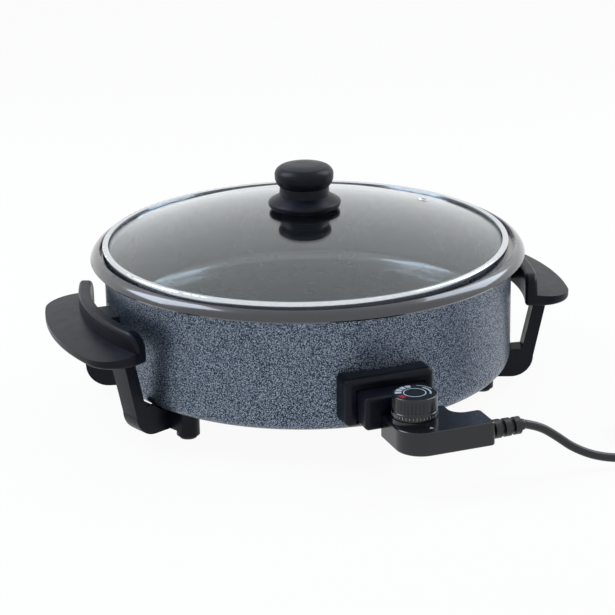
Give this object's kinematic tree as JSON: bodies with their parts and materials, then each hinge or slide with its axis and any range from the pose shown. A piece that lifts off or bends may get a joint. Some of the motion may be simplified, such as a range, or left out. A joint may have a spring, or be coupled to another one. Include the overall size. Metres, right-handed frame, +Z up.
{
  "type": "electric skillet",
  "caption": "Round deep electric skillet with a lift-off domed glass lid, two legged side handles and a plug-in dial heat control on a mains lead.",
  "frame": {"origin": "on the pan's upright axis, at the level of the surface that the four foot pads stand on", "axes": "+Z up; -Y towards the plug-in heat control at the front; +X towards the right handle"},
  "size_m": [0.661, 0.5301, 0.2273],
  "materials": {
    "black_bakelite": "satin moulded",
    "steel": "brushed",
    "pan_enamel": "gloss non-stick coating",
    "hammer_paint": "hammertone",
    "nickel": "plated",
    "brass": "plain",
    "rubber": "moulded",
    "cord_jacket": "extruded",
    "lid_glass": "tempered clear",
    "polished_steel": "polished",
    "dial_plastic": "moulded with printed scale"
  },
  "bodies": {
    "skillet": {"pan": "pan_enamel", "body_shell": "hammer_paint", "pan_stud": "steel", "base_washer": "steel", "base_nut": "steel", "heating_element": "steel", "element_clamp": "steel", "clamp_screws": "steel", "terminal_pins": "nickel", "probe_sleeve": "steel", "sleeve_rib": "steel", "socket_shroud": "black_bakelite", "shroud_screws": "steel", "handle_right": "black_bakelite", "handle_right_boss": "black_bakelite", "handle_right_screws": "steel", "handle_left": "black_bakelite", "handle_left_boss": "black_bakelite", "handle_left_screws": "steel", "foot_pads": "rubber"},
    "lid": {"lid_glass": "lid_glass", "lid_band": "polished_steel", "knob": "black_bakelite", "knob_seal": "rubber", "knob_washer": "steel", "knob_screw": "steel", "vent_eyelet": "steel"},
    "control": {"control_base": "black_bakelite", "control_cover": "black_bakelite", "control_screws": "steel", "control_nose": "black_bakelite", "probe_rod": "steel", "terminal_sockets": "brass", "thermostat_frame": "steel", "bimetal_blade": "steel", "contact_blade": "brass", "contact_points": "brass", "detent_spring": "steel", "strain_relief": "rubber", "cord_lead": "cord_jacket", "cord_coil": "cord_jacket", "coil_tie": "cord_jacket", "cord_tail": "cord_jacket", "plug_body": "cord_jacket", "plug_pins": "nickel"},
    "dial_knob": {"dial": "dial_plastic", "dial_shaft": "steel"}
  },
  "joints": [
    {"name": "lid_lift", "type": "slide", "parent": "skillet", "child": "lid", "axis": [0, 0, 1], "range_m": [0, 0.16]},
    {"name": "control_unplug", "type": "slide", "parent": "skillet", "child": "control", "axis": [0, -1, 0], "range_m": [0, 0.13]},
    {"name": "dial_turn", "type": "hinge", "parent": "control", "child": "dial_knob", "pos_m": [0.001, -0.258, 0.07], "axis": [0, 0, 1], "range_deg": [-270, 0]}
  ]
}
